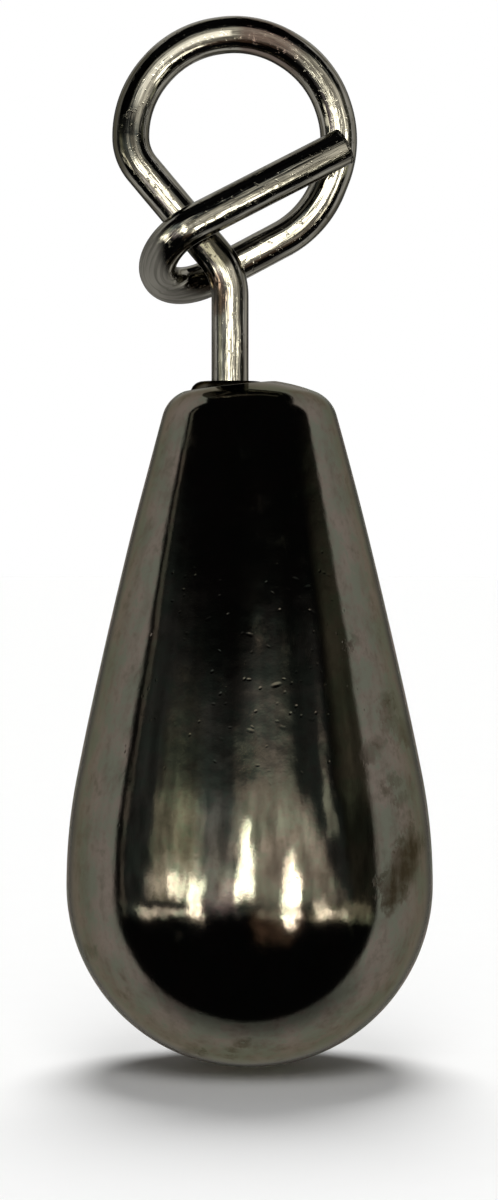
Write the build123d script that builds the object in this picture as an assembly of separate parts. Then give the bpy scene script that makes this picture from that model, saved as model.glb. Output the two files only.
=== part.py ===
from build123d import *
from math import atan2, cos, degrees, radians, sin, sqrt, tan
import os

# A teardrop drop-shot sinker with a swivelling wire line clip.
# Millimetres and degrees. The stem of the clip, which is the swivel axis, stands on the Z axis.
# Z is 0 at the inside of the eye's top, where the line pulls. +Y is the back.

# Teardrop body
body_diameter = 8.8
body_length = 16.5
belly_radius = 13.4            # curve of the side, upwards from the widest circle
belly_angle = 11.5             # how far the side leans in where the long flank takes over
top_diameter = 3.96            # where the flank and the crown would meet in a sharp edge
crown_height = 0.475
shoulder_radius = 0.85
bore_offset = 0.47             # the bore is this far to the left of the body's own axis
bore_edge_radius = 0.06
drill_point_angle = 118

# Line clip, one bent wire
wire_diameter = 0.89
stem_height = 2.53             # from the crown's peak up to the corner of the stem and the leg
stem_bend_radius = 1.5
eye_inside_diameter = 4.1
eye_height = 5.79              # from the crown's peak to the eye's centre
eye_shift = 0.12               # the eye's centre is this far to the right of the stem
eye_bends = 6
eye_run = 0.05                 # straight run left between two bends of the eye
leg_drop = 0.43                # from the eye's centre down to the corner of the leg and the eye
lower_leg_spread = 0.125       # the lower leg stands this far outside the eye's circle
arm_angle = 28                 # the rise of the lower leg and of the arm, up to the right
arm_spacing = 1.185            # between the lower leg and the arm, seen from the front
hairpin_reach = 3.15           # from the eye's centre down the arm to the end of the hairpin
hairpin_run = 0.1              # straight run left between the hairpin's two bends
arm_tip_overhang = 0.16        # the arm ends this far past the eye's centre line
tip_radius = 0.08
head_overhang = 0.205          # the upset head stands out this far round the stem
head_length = 0.6
head_dome_height = 0.25

# Swivel barrel, bonded into the bore
barrel_length = 3.4
barrel_wall = 0.24
barrel_recess = 0.05           # its mouth lies this far below the crown's peak
barrel_base_radius = 0.4
neck_length = 0.45             # the rolled-in mouth, along the stem
roll_share = 0.66              # of the lip's width, rounded on the outside
mouth_share = 0.25             # of the lip's width, rounded on the inside
bond_thickness = 0.1
bond_recess = 0.36             # the adhesive stops this far below the crown's peak

# Fits
pinch_gap = 0.1                # between two stretches of the wire where they cross
swivel_clearance = 0.06        # round the stem in the barrel's mouth
head_clearance = 0.06          # round the head in the barrel
end_play = 0.04                # above the head

# Sizes and places that follow from these
mouth_diameter = wire_diameter + 2 * swivel_clearance
head_diameter = wire_diameter + 2 * head_overhang
cavity_diameter = head_diameter + 2 * head_clearance
barrel_diameter = cavity_diameter + 2 * barrel_wall
bore_diameter = barrel_diameter + 2 * bond_thickness
lip_width = (barrel_diameter - mouth_diameter) / 2
eye_radius = (eye_inside_diameter + wire_diameter) / 2
lower_leg_offset = eye_radius + lower_leg_spread
arm_offset = lower_leg_offset - arm_spacing
crossing_depth = wire_diameter + pinch_gap
eye_centre = Vector(eye_shift, 0, -eye_inside_diameter / 2)
crown_z = eye_centre.Z - eye_height
base_z = crown_z - body_length
bond_top_z = crown_z - bond_recess
barrel_top_z = crown_z - barrel_recess
barrel_base_z = barrel_top_z - barrel_length
neck_base_z = barrel_top_z - neck_length
head_top_z = neck_base_z - end_play


def standing(bottom_z, top_z, diameter):
    """A cylinder on the swivel axis."""
    from_below = (Align.CENTER, Align.CENTER, Align.MIN)
    return Pos(0, 0, bottom_z) * Cylinder(diameter / 2, top_z - bottom_z, align=from_below)


def bore_space(top_z):
    """The blind bore, filled up to a height, with the drill's point at its end."""
    bore_end_z = barrel_base_z - bond_thickness
    bore_radius = bore_diameter / 2
    point_height = bore_radius / tan(radians(drill_point_angle / 2))
    from_above = (Align.CENTER, Align.CENTER, Align.MAX)
    point = Pos(0, 0, bore_end_z) * Cone(0, bore_radius, point_height, align=from_above)
    return standing(bore_end_z, top_z, bore_diameter) + point


def make_body():
    """The teardrop, turned about its own axis: round base, belly, long flank, shoulder and crown."""
    radius = body_diameter / 2
    lean = radians(belly_angle)
    widest = (radius, radius)
    belly_end = (radius - belly_radius * (1 - cos(lean)), radius + belly_radius * sin(lean))
    flank_top = (top_diameter / 2, body_length - crown_height)
    peak = (0, body_length)
    with BuildSketch() as half:
        with BuildLine():
            TangentArc((0, 0), widest, tangent=(1, 0))
            TangentArc(widest, belly_end, tangent=(0, 1))
            TangentArc(belly_end, flank_top, tangent=(-sin(lean), cos(lean)))
            TangentArc(peak, flank_top, tangent=(1, 0))
            Line(peak, (0, 0))
        make_face()
        fillet(half.vertices().sort_by_distance(flank_top)[0], shoulder_radius)
    teardrop = revolve(Plane.XZ * half.sketch, Axis.Z)
    bored = Pos(bore_offset, 0, base_z) * teardrop - bore_space(crown_z + wire_diameter)
    bore_edges = bored.faces().filter_by(GeomType.CYLINDER)[0].edges().filter_by(GeomType.LINE, reverse=True)
    return fillet([edge for edge in bore_edges if edge.center().Z > neck_base_z], bore_edge_radius)


def barrel_blank():
    """The barrel's outside, as if it were solid."""
    blank = standing(barrel_base_z, barrel_top_z, barrel_diameter)
    blank = fillet(blank.edges().filter_by(GeomType.CIRCLE).sort_by(Axis.Z)[-1], lip_width * roll_share)
    return fillet(blank.edges().filter_by(GeomType.CIRCLE).sort_by(Axis.Z)[0], barrel_base_radius)


def make_barrel():
    """The cup that holds the wire's head, with its mouth rolled in round the stem."""
    cavity = standing(barrel_base_z + barrel_wall, neck_base_z, cavity_diameter)
    barrel = barrel_blank() - cavity - standing(neck_base_z, barrel_top_z, mouth_diameter)
    top_face = barrel.faces().filter_by(Axis.Z).sort_by(Axis.Z)[-1]
    return fillet(top_face.inner_wires()[0].edges(), lip_width * mouth_share)


def make_bond():
    """The adhesive that fills the bore round the barrel."""
    return bore_space(bond_top_z) - barrel_blank()


def eye_corner(first, second, depth):
    """Where two straight lines of the front view cross. Each is given by the angle of its normal and
    its distance from the eye's centre."""
    a, b = radians(first[0]), radians(second[0])
    x = (first[1] * sin(b) - second[1] * sin(a)) / sin(b - a)
    z = (second[1] * cos(a) - first[1] * cos(b)) / sin(b - a)
    return eye_centre + Vector(x, depth, z)


def clip_path():
    """The wire's centre line, from its head to the arm's tip: straight runs and tangent bends."""
    stem_corner = Vector(0, 0, crown_z + stem_height)
    leg_corner = eye_centre + Vector(-eye_radius, 0, -leg_drop)
    leg = leg_corner - stem_corner
    leg_turn = leg.get_angle(Vector(0, 0, 1))
    points = [Vector(0, 0, head_top_z - head_length / 2), stem_corner, leg_corner]
    bends = [stem_bend_radius, leg_drop / tan(radians(leg_turn) / 2)]

    # The eye drifts back as it goes round clockwise, so that the lower leg passes behind the stem
    back = Vector(0, 1, 0)
    arm_normal = arm_angle - 90
    eye_step = (180 - arm_normal) / eye_bends
    tangents = [(180 - eye_step * i, eye_radius) for i in range(eye_bends)]
    tangents.append((arm_normal, lower_leg_offset))
    for i in range(eye_bends):
        points.append(eye_corner(tangents[i], tangents[i + 1], crossing_depth * (i + 1) / eye_bends))
        bends.append(eye_radius - eye_run / 2 / tan(radians(eye_step) / 2))

    # The arm crosses in front of the leg, and its tip lies in front of the eye's right side
    outward = Vector(cos(radians(arm_normal)), 0, sin(radians(arm_normal)))
    down_arm = Vector(-cos(radians(arm_angle)), 0, -sin(radians(arm_angle)))
    arm_middle = eye_centre + outward * arm_offset
    tip_reach = sqrt(eye_radius**2 - arm_offset**2) + arm_tip_overhang
    tip_turn = 180 - arm_angle + degrees(atan2(arm_offset, tip_reach))
    eye_depth_at_tip = crossing_depth * (tip_turn / eye_step + 0.5) / eye_bends
    arm_tip = arm_middle - down_arm * tip_reach + back * (eye_depth_at_tip - crossing_depth)
    leg_share = (arm_middle - stem_corner).dot(outward) / leg.dot(outward)
    leg_crossing = stem_corner + leg * leg_share - back * crossing_depth
    crossing_reach = (leg_crossing - arm_middle).dot(down_arm)

    # The hairpin joins the lower leg, at the back, to the arm, at the front
    past_crossing = (hairpin_reach - crossing_reach) / (tip_reach + crossing_reach)
    arm_end = leg_crossing + (leg_crossing - arm_tip) * past_crossing
    lower_leg_end = eye_centre + outward * lower_leg_offset + down_arm * hairpin_reach + back * crossing_depth
    across = arm_end - lower_leg_end
    arm_turn = across.get_angle(arm_tip - arm_end)
    hairpin_radius = (across.length - hairpin_run) / (1 + tan(radians(arm_turn) / 2))
    points += [lower_leg_end, arm_end, arm_tip]
    bends += [hairpin_radius, hairpin_radius]
    return FilletPolyline(points, radius=bends)


def make_clip():
    """The bent wire, with a square-cut tip and an upset head that the barrel holds."""
    path = clip_path()
    section = Plane(path @ 0, z_dir=path % 0) * Circle(wire_diameter / 2)
    wire = sweep(section, path=path)
    tip_edge = wire.edges().filter_by(GeomType.CIRCLE).sort_by_distance(path @ 1)[0]
    wire = fillet(tip_edge, tip_radius)
    head_end = (0, head_top_z - head_length)
    head_rim = (head_diameter / 2, head_top_z - head_length + head_dome_height)
    with BuildSketch() as half_head:
        with BuildLine():
            TangentArc(head_end, head_rim, tangent=(1, 0))
            Polyline(head_rim, (head_diameter / 2, head_top_z), (0, head_top_z), head_end)
        make_face()
    return wire + revolve(Plane.XZ * half_head.sketch, Axis.Z)


os.makedirs("parts", exist_ok=True)
export_step(make_body(), "parts/sinker_body.step")
export_step(make_barrel(), "parts/swivel_barrel.step")
export_step(make_bond(), "parts/epoxy_bond.step")
export_step(make_clip(), "parts/line_clip.step")
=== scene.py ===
import math

import bpy
import numpy as np
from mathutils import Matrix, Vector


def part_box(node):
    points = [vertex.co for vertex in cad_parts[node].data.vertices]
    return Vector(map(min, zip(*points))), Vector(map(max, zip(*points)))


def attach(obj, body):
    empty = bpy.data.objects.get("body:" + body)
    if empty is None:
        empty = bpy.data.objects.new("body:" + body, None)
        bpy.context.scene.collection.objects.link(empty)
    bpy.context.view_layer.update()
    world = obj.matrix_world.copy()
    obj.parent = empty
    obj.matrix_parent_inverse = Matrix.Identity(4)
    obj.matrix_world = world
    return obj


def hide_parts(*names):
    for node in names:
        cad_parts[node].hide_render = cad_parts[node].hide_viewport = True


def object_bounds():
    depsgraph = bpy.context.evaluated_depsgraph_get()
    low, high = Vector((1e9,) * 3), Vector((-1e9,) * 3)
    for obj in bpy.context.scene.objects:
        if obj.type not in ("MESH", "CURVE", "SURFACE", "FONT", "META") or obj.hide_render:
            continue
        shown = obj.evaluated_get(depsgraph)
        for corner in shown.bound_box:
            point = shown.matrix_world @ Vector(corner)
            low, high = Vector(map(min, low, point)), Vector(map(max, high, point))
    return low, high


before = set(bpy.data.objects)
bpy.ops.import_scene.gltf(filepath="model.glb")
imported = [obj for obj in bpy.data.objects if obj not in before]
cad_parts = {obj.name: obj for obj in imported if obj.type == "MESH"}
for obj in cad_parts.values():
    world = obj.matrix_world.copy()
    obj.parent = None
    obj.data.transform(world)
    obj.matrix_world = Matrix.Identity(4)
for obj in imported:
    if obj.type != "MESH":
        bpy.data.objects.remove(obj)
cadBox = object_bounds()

# A teardrop drop-shot sinker with a swivelling wire line clip.
# Shapes are worked out in millimetres in the CAD frame: the stem stands on the Z axis,
# z is 0 at the inside of the eye's top, and +Y is the back.
mm = 0.001
print("frame loaded:", sorted(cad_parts))

# Lowest and highest corners read from the frame, so that every piece sits where the CAD says
bodyLow, bodyHigh = (np.array(corner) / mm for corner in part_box("sinker_body"))
barrelLow, barrelHigh = (np.array(corner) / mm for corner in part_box("swivel_barrel"))
bondLow, bondHigh = (np.array(corner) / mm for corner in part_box("epoxy_bond"))
clipLow = np.array(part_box("line_clip")[0]) / mm


# Surfaces

def unit(vector):
    # A vector divided by its own length
    return vector / np.linalg.norm(vector)


def addGrid(name, points, along):
    # A closed skin over points[row, column]: rows run from one pole to the other, and columns go
    # round and meet. The UV map holds the length along the rows, in mm, and the share of the turn.
    rows, columns = points.shape[:2]
    ring = np.arange(columns)
    after = (ring + 1) % columns
    vertices = np.vstack([points[0, :1], points[1:-1].reshape(-1, 3), points[-1, :1]]) * mm
    first = 1 + columns * np.arange(rows - 2)[:, None]
    quads = np.stack([first[:-1] + ring, first[:-1] + after, first[1:] + after, first[1:] + ring], -1)
    pole = np.zeros(columns, int)
    startFan = np.stack([pole, 1 + after, 1 + ring], -1)
    endFan = np.stack([first[-1] + ring, first[-1] + after, pole + len(vertices) - 1], -1)
    mesh = bpy.data.meshes.new(name)
    faces = quads.reshape(-1, 4).tolist() + startFan.tolist() + endFan.tolist()
    mesh.from_pydata(vertices.tolist(), [], faces)

    turn = np.arange(columns + 1) / columns
    here, there = np.meshgrid(along[1:-1], turn, indexing="ij")
    corner = np.stack([here, there], -1)
    quadUv = np.stack([corner[:-1, :-1], corner[:-1, 1:], corner[1:, 1:], corner[1:, :-1]], 2)
    middle = (turn[1:] + turn[:-1]) / 2
    startUv = np.stack([np.stack([along[0] + 0 * middle, middle], -1), corner[0, 1:], corner[0, :-1]], 1)
    endUv = np.stack([corner[-1, :-1], corner[-1, 1:], np.stack([along[-1] + 0 * middle, middle], -1)], 1)
    layer = mesh.uv_layers.new(name="alongAndRound")
    layer.uv.foreach_set("vector", np.concatenate([quadUv.ravel(), startUv.ravel(), endUv.ravel()]))
    mesh.shade_smooth()
    piece = bpy.data.objects.new(name, mesh)
    bpy.context.scene.collection.objects.link(piece)
    print(f"{name}: {len(vertices)} vertices, {len(mesh.polygons)} faces")
    return piece


def bentLine(corners, radii, spacing, runLeast=3, arcLeast=8):
    # Straight runs joined by tangent arcs, as points with their directions. An arc starts before its corner
    # by its radius times the tangent of half the turn. Each run and arc has at least so many points.
    corners = np.asarray(corners, float)
    points, directions = [], []
    here = corners[0]
    ahead = unit(corners[1] - corners[0])

    def addRun(end):
        length = np.linalg.norm(end - here)
        count = max(runLeast, math.ceil(length / spacing))
        share = (1 - np.cos(np.linspace(0, np.pi, count, endpoint=False))) / 2
        points.append(here + share[:, None] * (end - here))
        directions.append(np.tile(ahead, (count, 1)))

    for corner, following, radius in zip(corners[1:-1], corners[2:], radii):
        leaving = unit(following - corner)
        turn = math.acos(np.clip(ahead @ leaving, -1, 1))
        arcStart = corner - ahead * radius * math.tan(turn / 2)
        addRun(arcStart)
        axis = unit(np.cross(ahead, leaving))
        inward = np.cross(axis, ahead)
        count = max(arcLeast, math.ceil(turn * radius / spacing))
        angle = np.linspace(0, turn, count, endpoint=False)[:, None]
        points.append(arcStart + radius * (np.sin(angle) * ahead + (1 - np.cos(angle)) * inward))
        directions.append(np.cos(angle) * ahead + np.sin(angle) * inward)
        here = arcStart + radius * (math.sin(turn) * ahead + (1 - math.cos(turn)) * inward)
        ahead = leaving
    addRun(corners[-1])
    points.append(corners[-1:])
    directions.append(ahead[None])
    return np.vstack(points), np.vstack(directions)


def spun(profile, columns):
    # A profile of (radius, height) carried round the Z axis: the radius times the angle's cosine and sine
    angle = np.arange(columns) * 2 * np.pi / columns
    radius, height = profile[:, :1], profile[:, 1:]
    return np.stack([radius * np.cos(angle), radius * np.sin(angle), height + 0 * angle], -1)


def lengthAlong(line):
    # The running length of a line of points: the sum of the steps so far
    return np.concatenate([[0], np.cumsum(np.linalg.norm(np.diff(line, axis=0), axis=1))])


def turnedProfile(corners, radii, spacing):
    # A profile of straight runs and rounded corners, from axis to axis
    line = bentLine([(radius, 0, height) for radius, height in corners], radii, spacing)[0]
    return line[:, ::2]


# Shader maths

class Term:
    # One socket of a node tree, so that masks read as plain sums and products
    def __init__(self, tree, socket=None):
        self.tree = tree
        self.socket = socket

    def node(self, kind, settings, sockets, output=0):
        # Any node: its settings come first, and then the values or links of its sockets
        made = self.tree.nodes.new(kind)
        for key, value in settings.items():
            setattr(made, key, value)
        for key, value in sockets.items():
            if isinstance(value, Term):
                self.tree.links.new(value.socket, made.inputs[key])
            else:
                made.inputs[key].default_value = value
        return Term(self.tree, made.outputs[output] if made.outputs else None)

    def maths(self, operation, *values):
        return self.node("ShaderNodeMath", {"operation": operation}, dict(enumerate(values)))

    def __add__(self, other):
        return self.maths("ADD", self, other)

    def __sub__(self, other):
        return self.maths("SUBTRACT", self, other)

    def __rsub__(self, other):
        return self.maths("SUBTRACT", other, self)

    def __mul__(self, other):
        return self.maths("MULTIPLY", self, other)

    def __abs__(self):
        return self.maths("ABSOLUTE", self)

    __radd__ = __add__
    __rmul__ = __mul__

    def ramp(self, low, high):
        # 0 below low, 1 above high and smooth between them; low may be the larger
        settings = {"interpolation_type": "SMOOTHSTEP"}
        return self.node("ShaderNodeMapRange", settings, {"Value": self, "From Min": low, "From Max": high})

    def most(self, other):
        return self.maths("MAXIMUM", self, other)

    def blend(self, share, colour, other):
        # The first colour where the share is 0, and the other where it is 1
        return self.node("ShaderNodeMix", {"data_type": "RGBA"}, {0: share, 6: colour, 7: other}, 2)

    def scaled(self, vector, factors):
        return self.node("ShaderNodeVectorMath", {"operation": "MULTIPLY"}, {0: vector, 1: factors})

    def parts(self, vector):
        # A vector's x, y and z
        return [self.node("ShaderNodeSeparateXYZ", {}, {0: vector}, i) for i in range(3)]

    def noise(self, vector, scale, detail=3.0, roughness=0.55):
        sockets = {"Vector": vector, "Scale": scale, "Detail": detail, "Roughness": roughness}
        return self.node("ShaderNodeTexNoise", {}, sockets)

    def cells(self, vector, scale, output="Distance"):
        # The distance to the nearest cell's point, or that cell's own colour
        return self.node("ShaderNodeTexVoronoi", {}, {"Vector": vector, "Scale": scale}, output)


def newFinish(name):
    # An empty material, with the term that builds its nodes
    material = bpy.data.materials.new(name)
    material.use_nodes = True
    material.node_tree.nodes.clear()
    return material, Term(material.node_tree)


greaseFilm = {
    "roughness": 0.8,
    "specular": 0.1,
    "facing": (0.78, 0.92),      # one less the cosine of the angle off the view: from 77 to 85 degrees
}


def closeFinish(term, colour, roughness, height, settings, film=None, scuffs=0.0):
    # Height is in mm, so the bump's distance is one millimetre. A film of handling grease, where there is
    # one, dulls scuffed places and the last few degrees before the outline, so that the rim doesn't glare.
    bump = term.node("ShaderNodeBump", {}, {"Strength": 1.0, "Distance": mm, "Height": height})
    sockets = {"Base Color": colour, "Roughness": roughness, "Normal": bump, **settings}
    shader = term.node("ShaderNodeBsdfPrincipled", {}, sockets)
    if film:
        sockets = {"Base Color": film, "Roughness": greaseFilm["roughness"],
                   "Specular IOR Level": greaseFilm["specular"]}
        dull = term.node("ShaderNodeBsdfPrincipled", {}, sockets)
        facing = term.node("ShaderNodeLayerWeight", {}, {"Blend": 0.5}, "Facing")
        share = facing.ramp(*greaseFilm["facing"]).most(scuffs)
        shader = term.node("ShaderNodeMixShader", {}, {0: share, 1: shader, 2: dull})
    term.node("ShaderNodeOutputMaterial", {}, {"Surface": shader})


def inMillimetres(term):
    # Object coordinates divided by a millimetre
    place = term.node("ShaderNodeTexCoord", {}, {}, "Object")
    return term.scaled(place, (1 / mm, 1 / mm, 1 / mm))


def wear(piece, material):
    # One material in place of any that were there
    piece.data.materials.clear()
    piece.data.materials.append(material)


# Teardrop body

teardrop = {
    "length": 16.5,              # to the crown's peak, which the bore takes away
    "bellyRadius": 13.4,         # curve of the side, upwards from the widest circle
    "bellyLean": 11.5,           # degrees, where the long flank takes over
    "topRadius": 1.98,           # where flank and crown would meet in a sharp edge
    "crownHeight": 0.475,
    "shoulderRadius": 0.85,
    "boreClearance": 0.1,        # the adhesive's thickness round the barrel
    "boreEdge": 0.06,
    "drillPoint": 118,           # degrees
    "columns": 288,
    "flankRows": 210,
    "crownRows": 56,
    "points": (700, 200, 900, 300, 300),  # of the profile: base, belly, flank, shoulder and crown
    "turnover": 0.35,            # rows drift to the bore from this far outside the top radius
    "rollRows": 9,
    "wallRows": (0.02, 0.25, 0.5, 0.75, 0.98, 1),  # shares of the way down the bore,
    "pointRows": (0.03, 0.35, 0.7, 1),             # and on to the drill's tip
    "unevenness": 0.0035,        # hand polish leaves the side this far out of round
    # Its ripples: waves round, waves up, phase and strength
    "ripples": ((3, 0.55, 0.4, 1.0), (5, 0.9, 2.1, 0.7), (2, 1.3, 4.0, 0.9), (9, 1.7, 1.2, 0.28),
                (14, 2.6, 3.3, 0.14)),
    "rippleSway": 0.6,
    "rippleFade": (3, 1.5),      # they die out over this length at the pole and at the rim
}


def tangentArc(start, direction, end, count):
    # The circle that leaves start in a direction and passes through end: its radius is the chord's square
    # over twice the chord's part across that direction
    chord = np.subtract(end, start)
    inward = np.array([-direction[1], direction[0]])
    radius = (chord @ chord) / (2 * chord @ inward)
    turn = 2 * math.asin(np.linalg.norm(chord) / (2 * radius))
    angle = np.linspace(0, turn, count)[:, None]
    arc = start + radius * (np.sin(angle) * direction + (1 - np.cos(angle)) * inward)
    return arc, start + radius * inward, radius


def circlesMeet(centre, radius, otherCentre, otherRadius):
    # Of the two points where circles cross, the upper one: each lies so far along the line of centres, and
    # then out to one side by what the radius leaves
    apart = otherCentre - centre
    gap = np.linalg.norm(apart)
    along = (gap**2 + radius**2 - otherRadius**2) / (2 * gap)
    out = math.sqrt(radius**2 - along**2)
    sideways = np.array([-apart[1], apart[0]]) / gap
    both = [centre + apart / gap * along + sign * out * sideways for sign in (1, -1)]
    return max(both, key=lambda point: point[1])


def teardropProfile(size, radius, length):
    # Radius and height from the base's pole to the crown's peak: quarter circle, belly arc, flank arc,
    # shoulder arc and crown arc, each tangent to the last
    basePoints, bellyPoints, flankPoints, shoulderPoints, crownPoints = size["points"]
    lean = math.radians(size["bellyLean"])
    angle = np.linspace(0, np.pi / 2, basePoints)[:, None]
    base = np.hstack([radius * np.sin(angle), radius * (1 - np.cos(angle))])
    angle = np.linspace(0, lean, bellyPoints)[:, None]
    bellyRadius = size["bellyRadius"]
    belly = np.hstack([radius - bellyRadius * (1 - np.cos(angle)), radius + bellyRadius * np.sin(angle)])
    flankTop = np.array([size["topRadius"], length - size["crownHeight"]])
    upwards = np.array([-math.sin(lean), math.cos(lean)])
    flank, flankCentre, flankRadius = tangentArc(belly[-1], upwards, flankTop, flankPoints)
    crownRadius = (size["topRadius"]**2 + size["crownHeight"]**2) / (2 * size["crownHeight"])
    crownCentre = np.array([0, length - crownRadius])
    shoulder = size["shoulderRadius"]
    middle = circlesMeet(flankCentre, flankRadius - shoulder, crownCentre, crownRadius - shoulder)
    low = math.atan2(*(middle - flankCentre)[::-1])
    high = math.atan2(*(middle - crownCentre)[::-1])
    angle = np.linspace(low, high, shoulderPoints)[:, None]
    rounding = middle + shoulder * np.hstack([np.cos(angle), np.sin(angle)])
    angle = np.linspace(high, np.pi / 2, crownPoints)[:, None]
    crown = crownCentre + crownRadius * np.hstack([np.cos(angle), np.sin(angle)])
    flank = flank[flank[:, 1] < rounding[0, 1]]
    return np.vstack([base, belly[1:], flank[1:], rounding, crown[1:]])


def makeTeardrop(size):
    # The profile turned round the body's own axis, with rows that drift over to the off-centre bore near
    # the top, then the bore's rolled rim, its wall, and a cone for the drill's point
    radius = (bodyHigh[0] - bodyLow[0]) / 2
    axisX = (bodyHigh[0] + bodyLow[0]) / 2
    length = size["length"]
    profile = teardropProfile(size, radius, length)
    reach = lengthAlong(profile)
    angle = np.arange(size["columns"]) * 2 * np.pi / size["columns"]
    upper = profile[:, 1] > radius   # above the widest circle

    def boreEdge(circleRadius):
        # Distance from the teardrop's axis to a circle round the stem, which is off that axis
        return axisX * -np.cos(angle) + np.sqrt(circleRadius**2 - (axisX * np.sin(angle))**2)

    def reachAt(distance):
        # Length along the profile, above the widest circle, where it is this far from the axis
        return np.interp(distance, profile[upper, 0][::-1], reach[upper][::-1])

    # Rows up the side are level circles, and above the flank they drift over to the bore's own circle
    boreRadius = (barrelHigh[0] - barrelLow[0]) / 2 + size["boreClearance"]
    edge = size["boreEdge"]
    turnover = reachAt(size["topRadius"] + size["turnover"])
    lower = np.linspace(0, turnover, size["flankRows"])[:, None] + 0 * angle
    share = np.linspace(0, 1, size["crownRows"])[1:, None]
    rimReach = reachAt(boreEdge(boreRadius + edge))
    side = np.vstack([lower, turnover + share * (rimReach - turnover)])
    distance = np.interp(side, reach, profile[:, 0])
    height = np.interp(side, reach, profile[:, 1])

    # Hand polish: a few long ripples round and along the side, which die out at the pole and the rim
    slope = np.gradient(profile, axis=0)
    slope /= np.linalg.norm(slope, axis=1)[:, None]
    ripple = 0 * side
    for across, upAndDown, phase, strength in size["ripples"]:
        wave = np.sin(across * angle + phase + size["rippleSway"] * np.sin(upAndDown * side))
        ripple = ripple + strength * wave * np.cos(upAndDown * side + 2 * phase)
    fadePole, fadeRim = size["rippleFade"]
    fade = np.clip(side / fadePole, 0, 1) * np.clip((rimReach - side) / fadeRim, 0, 1)
    ripple *= size["unevenness"] * fade
    distance = distance + ripple * np.interp(side, reach, slope[:, 1])
    height = height - ripple * np.interp(side, reach, slope[:, 0])

    # The rim rolls over into the bore, which ends in the drill's point
    rimHeight = np.interp(rimReach, reach, profile[:, 1])
    roll = np.linspace(0, np.pi / 2, size["rollRows"])[1:, None]
    rollDistance = boreEdge(boreRadius + edge * (1 - np.sin(roll)))
    rollHeight = rimHeight - edge * (1 - np.cos(roll))
    wallDistance = rollDistance[-1]
    boreFloor = barrelLow[2] - size["boreClearance"] - bodyLow[2]
    wallShare = np.array(size["wallRows"])[:, None]
    wallHeight = rollHeight[-1] + wallShare * (boreFloor - rollHeight[-1])
    pointHeight = boreRadius / math.tan(math.radians(size["drillPoint"] / 2))
    toTip = np.array(size["pointRows"])[:, None, None]

    def placed(distanceOut, heightUp):
        # From distance and height to x, y and z: the distance times the angle's cosine and sine
        across, depth = axisX + distanceOut * np.cos(angle), distanceOut * np.sin(angle)
        return np.stack([across, depth, bodyLow[2] + heightUp], -1)

    outside = placed(distance, height)
    rolled = placed(rollDistance, rollHeight)
    wall = placed(wallDistance + 0 * wallHeight, wallHeight)
    tip = np.array([0, 0, bodyLow[2] + boreFloor - pointHeight])
    cone = wall[-1] + toTip * (tip - wall[-1])
    points = np.concatenate([outside, rolled, wall, cone])
    return addGrid("teardropBody", points, lengthAlong(points[:, 0]))


# Line clip, one bent wire

bentWire = {
    "thickness": 0.89,
    "stemHeight": 2.53,          # from the crown's peak up to the corner of the stem and the leg
    "stemBend": 1.5,
    "eyeHeight": 5.79,           # from the crown's peak to the eye's centre
    "eyeInside": 4.1,
    "eyeShift": 0.12,
    "eyeBends": 6,
    "eyeRun": 0.05,
    "legDrop": 0.43,
    "lowerLegSpread": 0.125,
    "armAngle": 28,              # degrees, up to the right
    "armSpacing": 1.185,
    "hairpinReach": 3.15,
    "hairpinRun": 0.1,
    "tipOverhang": 0.16,
    "tipRadius": 0.08,
    "pinchGap": 0.1,
    "headDome": 0.25,
    "headLength": 0.6,
    "headOverhang": 0.205,
    "columns": 64,
    "spacing": 0.055,
    "domeRows": 12,
    "rimRows": (0.01, 0.06, 0.5, 0.94, 1),  # shares of the way up the head's side,
    "shelfRows": (0.04, 0.5, 0.97),         # and in over its top to the stem
    "tipRows": 9,
    "faceRows": (0.96, 0.5, 0),             # shares of the tip's flat face
}


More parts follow.
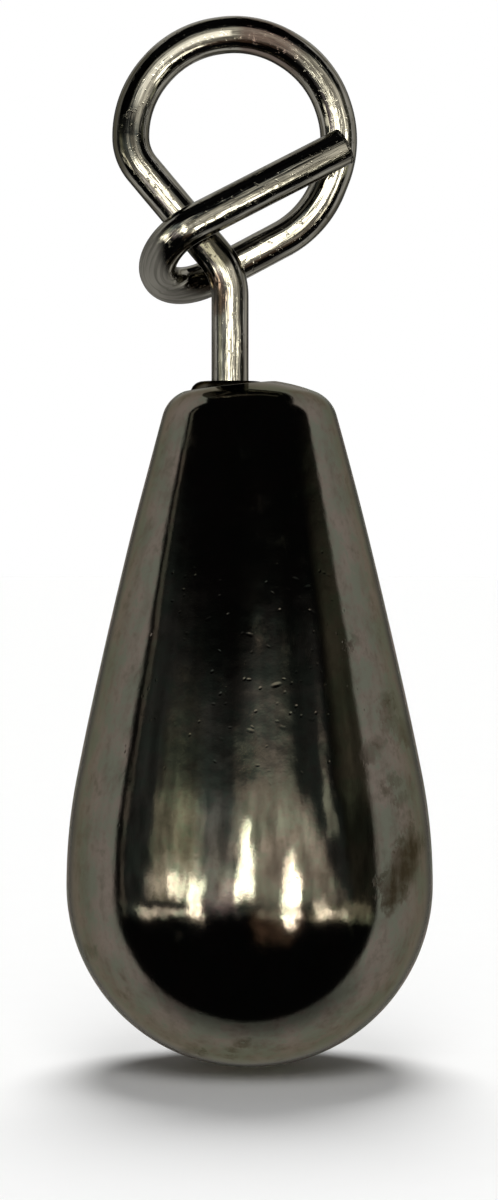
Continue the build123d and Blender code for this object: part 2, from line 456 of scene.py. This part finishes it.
def wireRoute(size):
    # Corners and bend radii of the wire's centre line, from the head to the arm's tip. A corner of the eye
    # is where two runs cross, each given by the angle of its normal and its distance from the eye's centre.
    thickness = size["thickness"]
    eyeRadius = (size["eyeInside"] + thickness) / 2
    eyeCentre = np.array([size["eyeShift"], 0, -size["eyeInside"] / 2])
    crownZ = eyeCentre[2] - size["eyeHeight"]
    crossing = thickness + size["pinchGap"]
    lowerLeg = eyeRadius + size["lowerLegSpread"]
    arm = lowerLeg - size["armSpacing"]
    back = np.array([0, 1.0, 0])
    headTop = clipLow[2] + size["headLength"]
    stemCorner = np.array([0, 0, crownZ + size["stemHeight"]])
    legCorner = eyeCentre + np.array([-eyeRadius, 0, -size["legDrop"]])
    leg = legCorner - stemCorner
    legTurn = math.acos(unit(leg)[2])
    corners = [np.array([0, 0, headTop]), stemCorner, legCorner]
    radii = [size["stemBend"], size["legDrop"] / math.tan(legTurn / 2)]

    # The eye drifts back as it goes round clockwise, so that the lower leg passes behind the stem
    armAngle = math.radians(size["armAngle"])
    armNormal = armAngle - math.pi / 2
    step = (math.pi - armNormal) / size["eyeBends"]
    normals = math.pi - step * np.arange(size["eyeBends"] + 1)
    offsets = np.append(np.full(size["eyeBends"], eyeRadius), lowerLeg)
    for i in range(size["eyeBends"]):
        before, after = normals[i:i + 2]
        near, far = offsets[i:i + 2]
        x = (near * math.sin(after) - far * math.sin(before)) / math.sin(after - before)
        z = (far * math.cos(before) - near * math.cos(after)) / math.sin(after - before)
        corners.append(eyeCentre + np.array([x, crossing * (i + 1) / size["eyeBends"], z]))
        radii.append(eyeRadius - size["eyeRun"] / 2 / math.tan(step / 2))

    # The arm crosses in front of the leg, and its tip lies in front of the eye's right side
    outward = np.array([math.cos(armNormal), 0, math.sin(armNormal)])
    downArm = -np.array([math.cos(armAngle), 0, math.sin(armAngle)])
    armMiddle = eyeCentre + outward * arm
    tipReach = math.sqrt(eyeRadius**2 - arm**2) + size["tipOverhang"]
    tipTurn = math.pi - armAngle + math.atan2(arm, tipReach)
    eyeDepth = crossing * (tipTurn / step + 0.5) / size["eyeBends"]
    tip = armMiddle - downArm * tipReach + back * (eyeDepth - crossing)
    legShare = ((armMiddle - stemCorner) @ outward) / (leg @ outward)
    legCrossing = stemCorner + leg * legShare - back * crossing
    crossingReach = (legCrossing - armMiddle) @ downArm

    # The hairpin joins the lower leg, at the back, to the arm, at the front
    past = (size["hairpinReach"] - crossingReach) / (tipReach + crossingReach)
    armEnd = legCrossing + (legCrossing - tip) * past
    lowerLegEnd = eyeCentre + outward * lowerLeg + downArm * size["hairpinReach"] + back * crossing
    across = armEnd - lowerLegEnd
    armTurn = math.acos(unit(across) @ unit(tip - armEnd))
    hairpin = (np.linalg.norm(across) - size["hairpinRun"]) / (1 + math.tan(armTurn / 2))
    return corners + [lowerLegEnd, armEnd, tip], radii + [hairpin, hairpin]


def makeWire(size):
    # A round section carried along the route. Its radius grows to the upset head at the start,
    # and shrinks round the edge of the square-cut tip at the end.
    radius = size["thickness"] / 2
    corners, radii = wireRoute(size)
    points, directions = bentLine(corners, radii, size["spacing"])
    headRadius = radius + size["headOverhang"]
    headFoot = -size["headLength"]
    dome = size["headDome"]
    domeRadius = (headRadius**2 + dome**2) / (2 * dome)
    lean = np.linspace(0, math.asin(headRadius / domeRadius), size["domeRows"])
    rim = np.array(size["rimRows"])
    shelf = np.array(size["shelfRows"])
    headRise = np.concatenate([headFoot + domeRadius * (1 - np.cos(lean)),
                               headFoot + dome + rim * (-headFoot - dome), 0 * shelf])
    headWidth = np.concatenate([domeRadius * np.sin(lean), headRadius + 0 * rim,
                                headRadius - size["headOverhang"] * shelf])
    roll = np.linspace(0, math.pi / 2, size["tipRows"])
    tipRadius = size["tipRadius"]
    face = np.array(size["faceRows"])
    tipRise = np.concatenate([-tipRadius + tipRadius * np.sin(roll), 0 * face])
    flat = radius - tipRadius
    tipWidth = np.concatenate([flat + tipRadius * np.cos(roll), flat * face])

    allButLast = slice(0, -1)
    centres = np.vstack([points[0] + headRise[:, None] * directions[0], points[allButLast],
                         points[-1] + tipRise[:, None] * directions[-1]])
    counts = (len(headRise), len(points) - 1, len(tipRise))
    forward = np.vstack([np.tile(directions[0], (counts[0], 1)), directions[allButLast],
                         np.tile(directions[-1], (counts[2], 1))])
    sideways = np.cross(forward, (0, 1, 0))          # so that a quarter turn always faces the front
    sideways /= np.linalg.norm(sideways, axis=1)[:, None]
    widths = np.concatenate([headWidth, np.full(counts[1], radius), tipWidth])
    upright = np.cross(forward, sideways)
    angle = np.arange(size["columns"]) * 2 * np.pi / size["columns"]
    spoke = sideways[:, None] * np.cos(angle)[None, :, None] + upright[:, None] * np.sin(angle)[None, :, None]
    surface = centres[:, None] + widths[:, None, None] * spoke
    return addGrid("bentWireClip", surface, lengthAlong(centres))


# Swivel barrel and its adhesive

barrelCup = {
    "wall": 0.24,
    "neck": 0.45,                # the rolled-in mouth, along the stem
    "mouthRadius": 0.505,
    "baseRound": 0.4,
    "rollShare": 0.66,           # of the lip's width, rounded on the outside
    "mouthShare": 0.25,          # of the lip's width, rounded on the inside
    "edge": 0.03,
    "columns": 128,
    "spacing": 0.08,
}

adhesive = {
    "meniscus": 0.07,            # how far it creeps up the bore and the barrel
    "meniscusPoints": 9,
    "meniscusEdge": 0.002,
    "edge": 0.02,
    "columns": 128,
    "spacing": 0.15,
}


def barrelOutside():
    # Half the barrel's width in the frame
    return (barrelHigh[0] - barrelLow[0]) / 2


def makeBarrel(size):
    # A cup turned round the stem: base, wall, rolled lip, mouth, and the cavity for the wire's head
    outside = barrelOutside()
    cavity = outside - size["wall"]
    lip = outside - size["mouthRadius"]
    neckBase = barrelHigh[2] - size["neck"]
    floor = barrelLow[2] + size["wall"]
    corners = [(0, barrelLow[2]), (outside, barrelLow[2]), (outside, barrelHigh[2]),
               (size["mouthRadius"], barrelHigh[2]), (size["mouthRadius"], neckBase), (cavity, neckBase),
               (cavity, floor), (0, floor)]
    edge = size["edge"]
    radii = [size["baseRound"], lip * size["rollShare"], lip * size["mouthShare"], edge, edge, edge]
    profile = turnedProfile(corners, radii, size["spacing"])
    return addGrid("swivelBarrelCup", spun(profile, size["columns"]), lengthAlong(profile))


def makeAdhesive(size):
    # It fills the bore up to a hollow meniscus, which is a parabola, round the barrel and under it
    outside = barrelOutside()
    bore = outside + teardrop["boreClearance"]
    foot = barrelLow[2]
    under = foot - teardrop["boreClearance"]
    top = bondHigh[2]
    share = np.linspace(0, 1, size["meniscusPoints"])
    dip = size["meniscus"] * (1 - (2 * share - 1)**2)
    hollow = np.stack([bore - share * (bore - outside), top - dip], 1)
    corners = [(0, bondLow[2]), (bore, under), *map(tuple, hollow), (outside, foot), (0, foot)]
    radii = [size["edge"]] + [size["meniscusEdge"]] * len(hollow) + [barrelCup["baseRound"]]
    profile = turnedProfile(corners, radii, size["spacing"])
    return addGrid("adhesiveRing", spun(profile, size["columns"]), lengthAlong(profile))


body = makeTeardrop(teardrop)
clip = makeWire(bentWire)
barrel = makeBarrel(barrelCup)
bond = makeAdhesive(adhesive)


# Finishes

polishedTungsten = {
    "greenGrey": (0.111, 0.114, 0.088, 1),
    "pinkGrey": (0.146, 0.120, 0.100, 1),
    "shadedGrey": (0.086, 0.078, 0.060, 1),
    "tarnish": (0.046, 0.036, 0.023, 1),
    "edgeTint": (0.50, 0.49, 0.45, 1),
    "film": (1.6, 1.6, 1.63),    # times the metal's own colour
    # Pits: how each set is turned, its density, and the pits' radius and shortness
    "pits": ((1.2, 2.6, 0.17, 0.55), (1.9, 2.0, 0.15, 0.42), (1.5, 3.6, 0.16, 0.60), (0.8, 3.2, 0.13, 0.50),
             (2.5, 4.4, 0.20, 0.70)),
    "pittedBelow": (-11.0, -13.0),   # mm up, between which they thicken on the way down,
    "pittedAbove": (-17.5, -16.0),   # and on the way up
    # Smudges on the front: mm to the right, mm up and radius
    "smudges": (
        (4.33, -18.80, 0.22), (4.20, -19.05, 0.30), (4.02, -19.32, 0.30), (3.86, -19.62, 0.28),
        (3.72, -19.88, 0.20), (3.66, -20.15, 0.15), (4.13, -16.22, 0.20), (3.62, -15.42, 0.12),
        (3.65, -15.70, 0.14), (3.70, -16.00, 0.14), (3.52, -16.42, 0.13), (3.31, -16.65, 0.16),
        (2.95, -14.04, 0.14), (-0.94, -23.73, 0.12), (-0.70, -23.80, 0.08), (0.00, -23.69, 0.11),
        (0.33, -23.37, 0.11), (-3.30, -21.40, 0.15), (4.22, -18.40, 0.11), (3.92, -18.70, 0.10),
        (4.05, -19.95, 0.11), (3.45, -19.50, 0.09), (3.80, -17.30, 0.13), (3.98, -17.75, 0.11),
    ),
}


def tungstenFinish(look):
    # Two greys mixed by slow noise and mottled by finer noise, with tarnish over them. Heights add up in mm.
    material, term = newFinish("polishedTungsten")
    place = inMillimetres(term)
    x, y, z = term.parts(place)
    hue = term.noise(place, 1.2, 4.0, 0.6)
    cloud = term.noise(place, 2.4, 4.0, 0.62)
    streaks = term.noise(term.scaled(place, (3.0, 3.0, 0.45)), 1.0, 3.0)
    patches = term.noise(term.scaled(place, (1.0, 1.0, 0.7)), 1.3, 4.0, 0.6)

    # Tarnish: ragged smudges low on the right and under the base, and a few paler ones all round
    ragged = term.noise(place, 7.0, 3.0, 0.65)
    across = x + 0.7 * (hue - 0.5) + 0.5 * (ragged - 0.5)
    up = z + 0.9 * (cloud - 0.5) + 0.4 * (ragged - 0.5)
    smudges = 0
    for right, rise, radius in look["smudges"]:
        aside, above = across - right, up - rise
        smudges = smudges + (aside * aside + above * above).ramp(radius**2 * 3.8, 0.0)
    stain = (0.6 * patches.ramp(0.56, 0.78)).most(smudges * y.ramp(0.4, -0.4) * (0.25 + streaks))
    clean = term.blend((0.75 * hue + 0.25 * ragged).ramp(0.42, 0.58), look["greenGrey"], look["pinkGrey"])
    mottled = (0.5 * cloud + 0.35 * ragged + 0.35 * streaks).ramp(0.52, 0.80)
    shade = term.blend(mottled * 0.9, clean, look["shadedGrey"])
    colour = term.blend(stain * 0.52, shade, look["tarnish"])

    # Pits: small dents, each set drawn out in its own direction, thickest half way up the flank
    worn = 0.15 + 0.85 * (z.ramp(*look["pittedBelow"]) * z.ramp(*look["pittedAbove"]))
    dents = 0
    for turn, density, radius, shortness in look["pits"]:
        turning = {"Vector": place, "Angle": turn}
        turned = term.node("ShaderNodeVectorRotate", {"rotation_type": "Y_AXIS"}, turning)
        cell = term.scaled(turned, (1.0, 1.0, shortness))
        chosen = term.parts(term.cells(cell, density, "Color"))[0].ramp(0.30, 0.95)
        dents = dents + chosen * term.cells(cell, density).ramp(radius, 0.0)
    peel = term.noise(place, 5.0, 2.0, 0.5)
    drag = term.noise(term.scaled(place, (4.0, 4.0, 0.4)), 1.0, 2.0)
    grain = term.noise(place, 16.0, 2.0, 0.6)
    swell = term.noise(place, 1.5, 1.5, 0.5) * (0.3 + 0.7 * z.ramp(-18.6, -17.2))
    height = 0.0060 * swell + 0.0010 * drag + 0.0010 * peel + 0.0003 * grain - 0.0012 * stain
    height = height - worn * (0.0034 * dents + 0.0006 * peel)
    roughness = 0.035 + 0.05 * streaks + 0.05 * cloud + 0.2 * stain
    settings = {"Metallic": 1.0, "Specular Tint": look["edgeTint"]}
    closeFinish(term, colour, roughness, height, settings, term.scaled(colour, look["film"]))
    return material


springWire = {
    "bright": (0.25, 0.238, 0.205, 1),
    "worn": (0.062, 0.057, 0.046, 1),
    # painted highlight along a line on the eye's top
    "paintedHighlightColour": (0.80, 0.77, 0.68, 1),
    # painted shadow on the leg behind the arm, and painted dark reflection on the eye's left side
    "dark": (0.045, 0.042, 0.032, 1),
    "brown": (0.075, 0.052, 0.040, 1),
    # Painted shadow on the leg behind the arm, and brown marks on the stem's bend: mm to the right, mm up and
    # radius
    "paintedLegShadow": ((-0.62, -4.50, 0.26), (-0.40, -4.70, 0.28), (-0.18, -4.92, 0.26)),
    "brownMarks": ((-0.36, -5.48, 0.20), (-0.34, -5.80, 0.22), (-0.33, -6.12, 0.20)),
    "scuffCentre": (-0.75, -4.85),   # mm to the right and up: the scuffs lie round it
    "paintedHighlightRing": 6.15,              # square of the painted highlight's distance from the eye's centre
    "edgeTint": (0.50, 0.49, 0.45, 1),
    # painted brownish-purple reflection on the eye, right of its top
    "purple": (0.115, 0.084, 0.074, 1),
    "film": (0.205, 0.194, 0.166, 1),
    "filmWorn": (0.110, 0.103, 0.087, 1),
}


def wireFinish(look):
    # Bright wire streaked with worn lines along its length, with painted highlight, shadow and reflections
    # and brown marks over it
    material, term = newFinish("springWire")
    place = inMillimetres(term)
    x, y, z = term.parts(place)
    along, turn = term.parts(term.node("ShaderNodeUVMap", {"uv_map": "alongAndRound"}, {}))[:2]
    angle = turn * (2 * math.pi)
    aside, upright = angle.maths("COSINE", angle), angle.maths("SINE", angle)

    def drawn(lengthwise, crosswise):
        # Noise that is long in the wire's length and short round it, on a closed loop
        loop = {0: along * lengthwise, 1: aside * crosswise, 2: upright * crosswise}
        return term.noise(term.node("ShaderNodeCombineXYZ", {}, loop), 1.0, 3.0)

    # The rolls of the straightener leave four faint flats. The hairpin's outside is scuffed dull by the
    # bending tool, and a painted brownish-purple reflection lies on the eye, right of its top.
    rolled = angle.maths("COSINE", angle * 4)
    scuffX, scuffZ = look["scuffCentre"]
    out, down = x - scuffX, z - scuffZ
    scuffs = (out * out + down * down).ramp(0.55, 1.05) * x.ramp(-0.2, -0.6) * z.ramp(-4.2, -4.8)
    # a painted brownish-purple reflection on the eye, right of its top
    paintedPurpleReflection = x.ramp(0.1, 0.4) * x.ramp(1.9, 1.3) * z.ramp(-1.0, -0.5)

    flats = drawn(0.35, 1.5)
    lines = drawn(0.7, 5.0)
    scratches = drawn(1.6, 11.0)
    pits = term.noise(place, 8.0, 3.0, 0.6).ramp(0.60, 0.70)
    smooth = term.noise(place, 1.6, 2.0)
    colour = term.blend(lines.ramp(0.40, 0.64) * 0.85 + 0.4 * pits, look["bright"], look["worn"])

    # Painted dark reflection along the outside of the eye's left side, a painted highlight along a line on
    # its top, painted shadow on the leg where it passes behind the arm, and brown marks on the stem's bend
    fromEyeX, fromEyeZ = x - bentWire["eyeShift"], z + bentWire["eyeInside"] / 2
    fromRing = abs(fromEyeX * fromEyeX + fromEyeZ * fromEyeZ - look["paintedHighlightRing"])
    # a painted highlight along a line on the eye's top, at the front
    paintedHighlight = fromRing.ramp(0.42, 0.22) * x.ramp(0.08, -0.04) * z.ramp(-1.5, -1.0) * y.ramp(0.2, 0.0)
    # painted dark reflection on the outer side of the eye's left side
    outside = x.ramp(-1.6, -2.0) * z.ramp(-3.2, -2.7) * aside.ramp(0.05, 0.35)
    onLeg = y.ramp(-0.55, -0.47) * y.ramp(0.55, 0.45)
    # Painted shadow on the leg where it passes behind the arm, and brown marks on the stem's bend
    for marks, tint, strength in (("paintedLegShadow", "dark", 1.0), ("brownMarks", "brown", 0.9)):
        spots = 0
        for right, rise, radius in look[marks]:
            beside, above = x + 0.3 * (smooth - 0.5) - right, z - rise
            spots = spots + (beside * beside + above * above).ramp(radius**2 * 2.0, radius**2 * 0.3)
        colour = term.blend(spots * onLeg * strength, colour, look[tint])
    # painted dark reflection, painted highlight and painted purple reflection, laid over the colour
    colour = term.blend(outside * 0.85, colour, look["dark"])
    colour = term.blend(paintedHighlight * (0.35 + lines), colour, look["paintedHighlightColour"])
    colour = term.blend(paintedPurpleReflection * 0.8, colour, look["purple"])
    height = -0.022 * rolled + 0.011 * flats + 0.0075 * lines
    height = height + 0.0010 * scratches - 0.0030 * pits + 0.005 * smooth
    roughness = 0.04 + 0.06 * lines.ramp(0.4, 0.8) + 0.14 * pits
    settings = {"Metallic": 1.0, "Specular Tint": look["edgeTint"]}
    film = term.blend(lines.ramp(0.40, 0.62), look["film"], look["filmWorn"])
    closeFinish(term, colour, roughness, height, settings, film, scuffs * (0.65 + 0.6 * lines))
    return material


platedBrass = {
    "plate": (0.062, 0.056, 0.046, 1),
    "dull": (0.034, 0.029, 0.022, 1),
    "edgeTint": (0.22, 0.21, 0.18, 1),
}


def brassFinish(look):
    # Plated and dull places mixed by slow noise, with faint rings from turning
    material, term = newFinish("platedBrass")
    place = inMillimetres(term)
    cloud = term.noise(place, 3.0, 4.0)
    rings = term.noise(term.scaled(place, (0.3, 0.3, 16.0)), 1.0, 3.0)
    colour = term.blend(cloud.ramp(0.42, 0.68), look["plate"], look["dull"])
    settings = {"Metallic": 1.0, "Specular Tint": look["edgeTint"]}
    closeFinish(term, colour, 0.16 + 0.2 * cloud, 0.0014 * rings + 0.001 * cloud, settings)
    return material


curedEpoxy = {
    "clear": (0.020, 0.018, 0.015, 1),
    "cloudy": (0.042, 0.038, 0.032, 1),
}


def epoxyFinish(look):
    # Clear and cloudy places mixed by slow noise, with small sunken bubbles
    material, term = newFinish("curedEpoxy")
    place = inMillimetres(term)
    cloud = term.noise(place, 2.2, 4.0)
    bubbles = term.cells(place, 5.0).ramp(0.22, 0.05)
    colour = term.blend(cloud.ramp(0.4, 0.7), look["clear"], look["cloudy"])
    height = 0.004 * cloud - 0.006 * bubbles
    closeFinish(term, colour, 0.12 + 0.15 * cloud, height, {"IOR": 1.52})
    return material


dressing = (
    (body, "sinker_body", "weight", "polished_tungsten", tungstenFinish(polishedTungsten)),
    (clip, "line_clip", "clip", "spring_wire", wireFinish(springWire)),
    (barrel, "swivel_barrel", "weight", "plated_brass", brassFinish(platedBrass)),
    (bond, "epoxy_bond", "weight", "cured_epoxy", epoxyFinish(curedEpoxy)),
)
for piece, node, carrier, slotName, material in dressing:
    wear(piece, material)
    wear(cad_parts[node], material)
    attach(piece, carrier)
    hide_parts(node)
print("pieces dressed:", [row[0].name for row in dressing])


# Camera, at the photograph's angle

viewpoint = {
    "pitch": 1.5,                # degrees down
    "distance": 85.0,
    "aim": (0.454, 0.0, -13.13),
    "frameHeight": 28.8,         # mm at the aim, over the 1200 pixels of the frame's height
    "sensor": 36.0,
}


def makeCamera(setup):
    # The lens is the sensor's size times the distance, over the height of the frame at the aim
    data = bpy.data.cameras.new("camera")
    pitch = math.radians(setup["pitch"])
    data.sensor_width = setup["sensor"]
    data.lens = setup["sensor"] * setup["distance"] / setup["frameHeight"]
    data.clip_start = 0.001
    data.clip_end = 10.0
    camera = bpy.data.objects.new("camera", data)
    back = np.array([0, -math.cos(pitch), math.sin(pitch)])
    camera.location = (np.array(setup["aim"]) + setup["distance"] * back) * mm
    camera.rotation_euler = (math.pi / 2 - pitch, 0, 0)
    bpy.context.scene.collection.objects.link(camera)
    bpy.context.scene.camera = camera


# Studio: white all round for the camera. For the sinker's mirror there is a white sheet behind it, up to
# a little above it, and in front of it a dark room with pale walls and bright windows.

studio = {
    "white": (1, 1, 1, 1),
    "shade": (0.15, 0.15, 0.15, 1),  # what the floor gets from all round
    "dark": (0.008, 0.008, 0.009),
    "sheetSlant": 0.06,          # the sheet comes further forward on the right
    "sheetRise": 0.85,           # its top edge is this steep straight behind,
    "sheetFlare": 1.3,           # and rises by this much to either side
    "sheetSoft": 0.04,
    "warp": (11.0, 7.0),         # degrees by which walls and windows are out of true, across and up
    "fray": (6.0, 3.0),          # and by which their edges are frayed
    "cool": (0.84, 0.98, 1.0),
    "cream": (1.0, 0.95, 0.84),
    "olive": (0.98, 1.0, 0.74),
    "sun": (1.0, 0.98, 0.86),
    "plum": (1.0, 0.76, 0.88),
    "rose": (1.0, 0.66, 0.45),
    # Each card: its colour; azimuths of its left and right side at the top and at the foot, right of the
    # camera, and their softness; elevations where it begins at the top, is full, stops being full and ends;
    # all in degrees; and its brightness
    "cards": (
        ("cool", (-80, 52), (-80, 64), 8, 24.5, 16.5, -11, -17, 0.10),
        ("cool", (9, 13), (7, 15), 20, 25.5, 21.5, 20, 17.5, 0.20),
        ("olive", (64, 92), (68, 92), 6, 27, 19, -10, -16, 0.05),
        ("olive", (66, 92), (72, 92), 6, 25, 18, 13, 6, 0.10),
        ("cream", (8, 22), (-3, 60), 8, 21.4, 18.3, -4, -10, 0.95),
        ("cream", (-8, 0), (-10, 2), 5, 20, 18.2, 8, 0, 0.75),
        ("cream", (22, 36), (4, 50), 6, 18, 11, 3, -3, 0.5),
        ("olive", (-58, -36), (-61, -32), 7, 20.2, 10, -5, -8, 0.70),
        ("olive", (-50, -43), (-47, -40), 5, 18, 12, 4, 0, 0.42),
        ("cool", (-34, -8), (-32, -8), 5, 21.3, 11, -6, -10, 0.38),
        ("cream", (-30, -14), (-30, -12), 6, 11, 4, -4, -8, 0.28),
        ("cream", (-16, -9), (-18, -8), 3, 1.5, -1.5, -5, -7, 0.9),
        ("plum", (-30, -10), (-30, -8), 5, 5, -3, -9, -16, 0.45),
        ("cream", (51, 54), (53, 57), 2, 18.5, 15, 8, 5.5, 0.9),
        ("rose", (0, 32), (12, 26), 6, -8, -14, -24, -36, 0.20),
        ("cream", (8, 20), (10, 34), 4, -6, -9, -15, -19, 0.7),
        ("sun", (-3.5, -1.5), (-8, 3), 1.5, 12, 7, -4, -7.5, 13.0),
        ("sun", (23, 29), (19, 30), 1.5, 4, 1, -5, -9, 12.0),
        ("sun", (19, 30), (26, 28), 1.5, -3, -7, -19, -26, 12.0),
        ("sun", (-39, -29), (-36, -31), 2.5, -1, -4, -13.5, -19, 12.0),
        ("sun", (-50, -44), (-49, -43), 2.5, 0, -2, -5, -6.5, 7.0),
        ("sun", (-66, -52), (-64, -50), 6, 0, -2, -4.5, -6.5, 0.9),
        ("sun", (-57, -34), (-62, -30), 4, 3, 1.8, 0.5, -0.8, 1.0),
        ("sun", (-74, -40), (-74, -38), 3, -9.5, -11.5, -13.5, -16.5, 2.6),
        ("sun", (42, 46), (43, 51), 2, -6, -9, -14, -18, 5.0),
        ("sun", (47, 60), (47, 66), 4, -11, -13, -14.5, -18, 1.6),
        ("olive", (40, 74), (40, 84), 6, -6, -11, -15, -20, 0.7),
        ("cream", (-88, -85), (-88, -85), 1, 40, 35, -12, -18, 0.35),
    ),
}


def makeStudio(setup):
    # Cards are added up by direction: each is its colour times its brightness between its four soft sides
    world = bpy.data.worlds.new("studio")
    bpy.context.scene.world = world
    world.use_nodes = True
    world.node_tree.nodes.clear()
    term = Term(world.node_tree)
    direction = term.node("ShaderNodeTexCoord", {}, {}, "Generated")
    x, y, z = term.parts(direction)
    azimuth = x.maths("ARCTAN2", x, y * -1) * math.degrees(1)
    elevation = z.maths("ARCSINE", z) * math.degrees(1)
    uneven = elevation.ramp(19.0, 12.0)  # less so high up, where the flank draws everything out into streaks
    for name, scales in (("warp", (7.0, 9.0)), ("fray", (26.0, 30.0))):
        amount = (0.35 + 0.65 * uneven) if name == "warp" else uneven
        azimuth = azimuth + setup[name][0] * (amount * (term.noise(direction, scales[0]) - 0.5))
        elevation = elevation + setup[name][1] * (amount * (term.noise(direction, scales[1]) - 0.5))
    blotches = 1.0 + (0.3 + 0.7 * uneven) * (term.noise(direction, 8.0).ramp(0.3, 0.7) - 0.5)
    room = setup["dark"]
    for tint, top, foot, soft, begin, full, last, end, brightness in setup["cards"]:
        leans = [(upper - lower) / (begin - end) for upper, lower in zip(top, foot)]
        left, right = (azimuth - lean * (elevation - end) for lean in leans)
        wide = left.ramp(foot[0] - soft, foot[0]) * right.ramp(foot[1] + soft, foot[1])
        tall = elevation.ramp(begin, full) * elevation.ramp(end, last)
        share = brightness * (wide * tall * blotches)
        added = {0: setup[tint], 1: share, 2: room}
        room = term.node("ShaderNodeVectorMath", {"operation": "MULTIPLY_ADD"}, added)
    soft = setup["sheetSoft"]
    behind = (y + setup["sheetSlant"] * x).ramp(-soft, soft)
    belowTop = (setup["sheetRise"] * y + setup["sheetFlare"] * abs(x) - z).ramp(-soft, soft)
    shaded = z.ramp(-0.5, -0.9) * y.ramp(0.45, 0.0)
    doorway = y.ramp(0.76, 0.97) * z.ramp(0.38, 0.18)  # dark, straight behind, with a pale pane in it
    pane = x.ramp(0.03, 0.07) * x.ramp(0.20, 0.15) * z.ramp(-0.3, -0.2) * z.ramp(0.32, 0.22)
    creases = 0.88 + 0.24 * term.noise(direction, 2.5)
    sheet = behind * belowTop * creases * (1 - 0.7 * shaded) * (1 - 0.9 * doorway * (1 - pane))
    ray = {name: term.node("ShaderNodeLightPath", {}, {}, name)
           for name in ("Is Camera Ray", "Is Glossy Ray", "Is Transmission Ray")}
    mirrored = ray["Is Glossy Ray"].most(ray["Is Transmission Ray"])
    lit = term.blend(mirrored, setup["shade"], term.blend(sheet, room, setup["white"]))
    colour = term.blend(ray["Is Camera Ray"], lit, setup["white"])
    background = term.node("ShaderNodeBackground", {}, {"Color": colour, "Strength": 1.0})
    term.node("ShaderNodeOutputWorld", {}, {"Surface": background})


pavement = {
    "colour": (0.90, 0.90, 0.895, 1),
    "grain": (0.91, 0.91, 0.905, 1),
    "half": 600.0,               # from the middle to each side
}


def makeFloor(setup):
    # A square at the height of the part's lowest point
    half = setup["half"] * mm
    mesh = bpy.data.meshes.new("floor")
    height = cadBox[0].z
    square = [(-half, -half, height), (half, -half, height), (half, half, height), (-half, half, height)]
    mesh.from_pydata(square, [], [(0, 1, 2, 3)])
    floor = bpy.data.objects.new("floor", mesh)
    bpy.context.scene.collection.objects.link(floor)
    material, term = newFinish("paleFloor")
    place = inMillimetres(term)
    paper = term.noise(place, 0.8, 2.0)
    colour = term.blend(paper, setup["colour"], setup["grain"])
    closeFinish(term, colour, 0.9, 0.0, {"Specular IOR Level": 0.0})
    wear(floor, material)
    floor.visible_glossy = False     # the sinker mirrors the studio behind and below it, not its own shadow


# Soft light from above: most of it from behind, so that the shadow is longest towards the camera, and a
# little from in front. Each lamp: degrees from straight down, towards the back, and the irradiance that it
# gives the floor
overhead = {
    "lamps": ((-30, 2.10), (-20, 0.19), (28, 0.40), (45, 0.30)),
    "softness": 28,              # degrees across
}


def makeLamps(setup):
    # A lamp's strength is the floor's irradiance over the cosine of its tilt
    for i, (tilt, irradiance) in enumerate(setup["lamps"]):
        data = bpy.data.lights.new(f"overhead{i}", "SUN")
        data.energy = irradiance / math.cos(math.radians(tilt))
        data.angle = math.radians(setup["softness"])
        lamp = bpy.data.objects.new(f"overhead{i}", data)
        lamp.rotation_euler = (math.radians(tilt), 0, 0)
        lamp.visible_glossy = False
        bpy.context.scene.collection.objects.link(lamp)


makeCamera(viewpoint)
makeStudio(studio)
makeFloor(pavement)
makeLamps(overhead)
bpy.context.scene.view_settings.view_transform = "Standard"
print("camera, studio, floor and lamps made")
